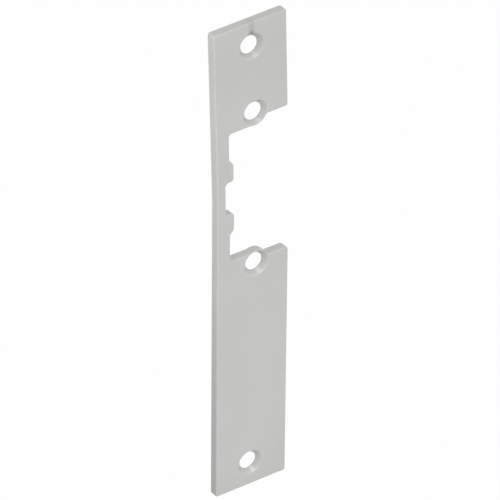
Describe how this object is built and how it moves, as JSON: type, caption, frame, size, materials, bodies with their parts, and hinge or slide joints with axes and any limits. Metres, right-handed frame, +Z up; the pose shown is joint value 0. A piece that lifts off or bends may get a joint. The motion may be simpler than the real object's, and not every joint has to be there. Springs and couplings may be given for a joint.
{
  "type": "door strike plate",
  "caption": "Flat lacquered steel strike plate with a latch opening in one long edge and screw holes countersunk from both faces.",
  "frame": {"origin": "centre of the lower end screw hole, halfway through the plate", "axes": "+X across the plate to its open long edge, +Y from the front face to the back face, +Z up along the lower limb"},
  "size_m": [0.0267, 0.003, 0.1607],
  "materials": {
    "grey_lacquer": "satin light grey lacquer on steel"
  },
  "bodies": {
    "root": {"strike_plate": "grey_lacquer"}
  },
  "joints": []
}
